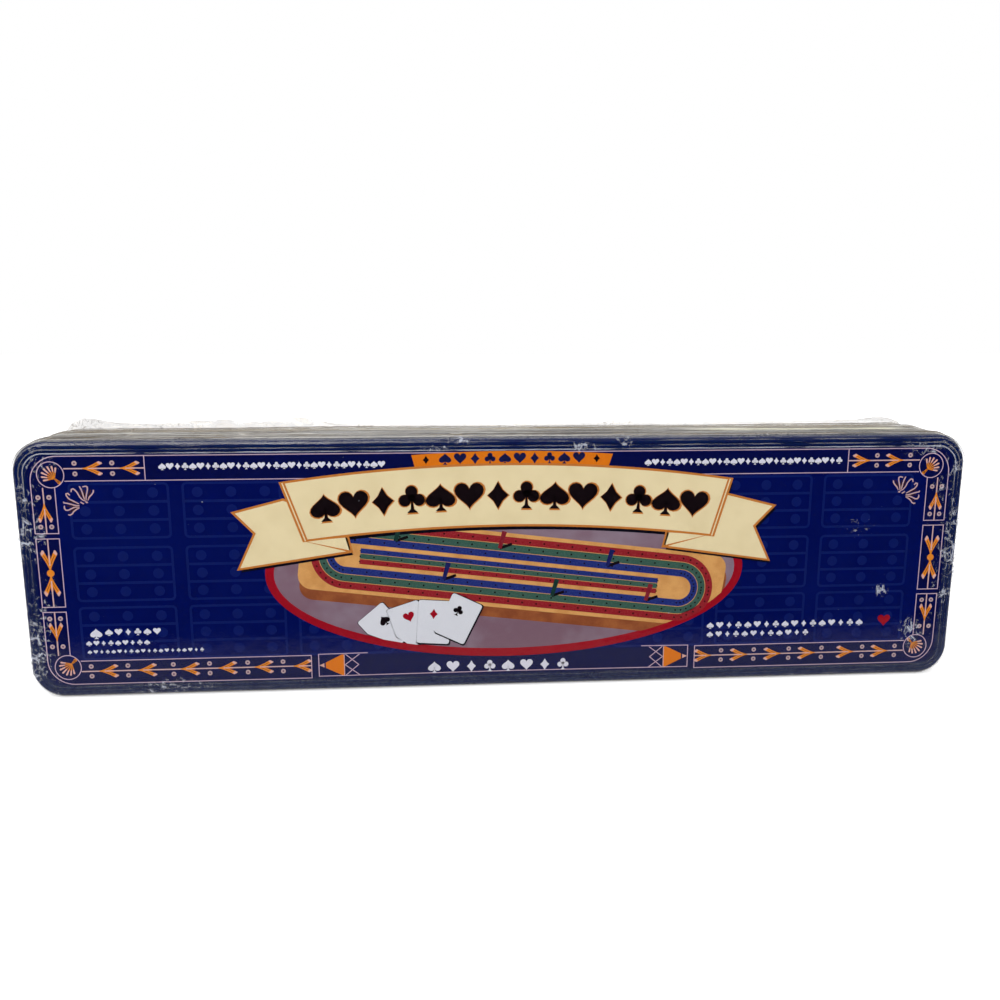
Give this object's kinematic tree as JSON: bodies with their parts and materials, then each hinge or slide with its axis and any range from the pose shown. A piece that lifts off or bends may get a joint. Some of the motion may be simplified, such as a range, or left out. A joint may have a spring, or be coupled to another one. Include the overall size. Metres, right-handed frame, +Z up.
{
  "type": "slip-lid game tin with cribbage set",
  "caption": "Long rounded slip-lid tin in clear film, standing on its long edge, holding a wooden peg board, pegs in a hidden compartment, boxed cards and a leaflet.",
  "frame": {"origin": "on the surface the tin stands on, under the centre of its bounding box", "axes": "+X along the tin, +Y from the lid's face to the back, +Z up across the tin's height; the lid faces -Y"},
  "size_m": [0.4002, 0.0494, 0.1117],
  "materials": {
    "lid_enamel": "printed dark blue, glossy",
    "gold_lacquer": "gold lacquer on tinplate",
    "clear_film": "clear shrink film",
    "tray_plastic": "satin black formed sheet",
    "board_wood": "satin lacquer",
    "cover_steel": "brushed",
    "screw_steel": "yellow zinc",
    "peg_red": "gloss",
    "peg_green": "gloss",
    "peg_blue": "gloss",
    "carton": "coated card",
    "cards": "coated paper edges",
    "leaflet_paper": "uncoated"
  },
  "bodies": {
    "base": {"base": "gold_lacquer", "film_back": "clear_film", "insert_tray": "tray_plastic"},
    "lid": {"lid": "lid_enamel", "film_front": "clear_film"},
    "leaflet": {"rules_leaflet": "leaflet_paper"},
    "board": {"cribbage_board": "board_wood", "cover_screw": "screw_steel", "peg_red_1": "peg_red", "peg_green_1": "peg_green", "peg_blue_1": "peg_blue", "peg_red_2": "peg_red", "peg_green_2": "peg_green", "peg_blue_2": "peg_blue", "peg_red_3": "peg_red", "peg_green_3": "peg_green", "peg_blue_3": "peg_blue"},
    "cover": {"compartment_cover": "cover_steel"},
    "cards": {"card_tuck_box": "carton", "card_deck": "cards"}
  },
  "joints": [
    {"name": "lid_lift", "type": "slide", "parent": "base", "child": "lid", "axis": [0, -1, 0], "range_m": [0, 0.2]},
    {"name": "leaflet_lift", "type": "slide", "parent": "base", "child": "leaflet", "axis": [0, -1, 0], "range_m": [0, 0.15]},
    {"name": "board_lift", "type": "slide", "parent": "base", "child": "board", "axis": [0, -1, 0], "range_m": [0, 0.1]},
    {"name": "cards_lift", "type": "slide", "parent": "base", "child": "cards", "axis": [0, -1, 0], "range_m": [0, 0.05]},
    {"name": "cover_swing", "type": "hinge", "parent": "board", "child": "cover", "pos_m": [0.1421, 0.0021, 0.05485], "axis": [0, 1, 0], "range_deg": [0, 90]}
  ],
  "couplings": [
    {"joint": "leaflet_lift", "follows": "lid_lift", "ratio": 0.75},
    {"joint": "board_lift", "follows": "lid_lift", "ratio": 0.5},
    {"joint": "cards_lift", "follows": "lid_lift", "ratio": 0.25}
  ]
}
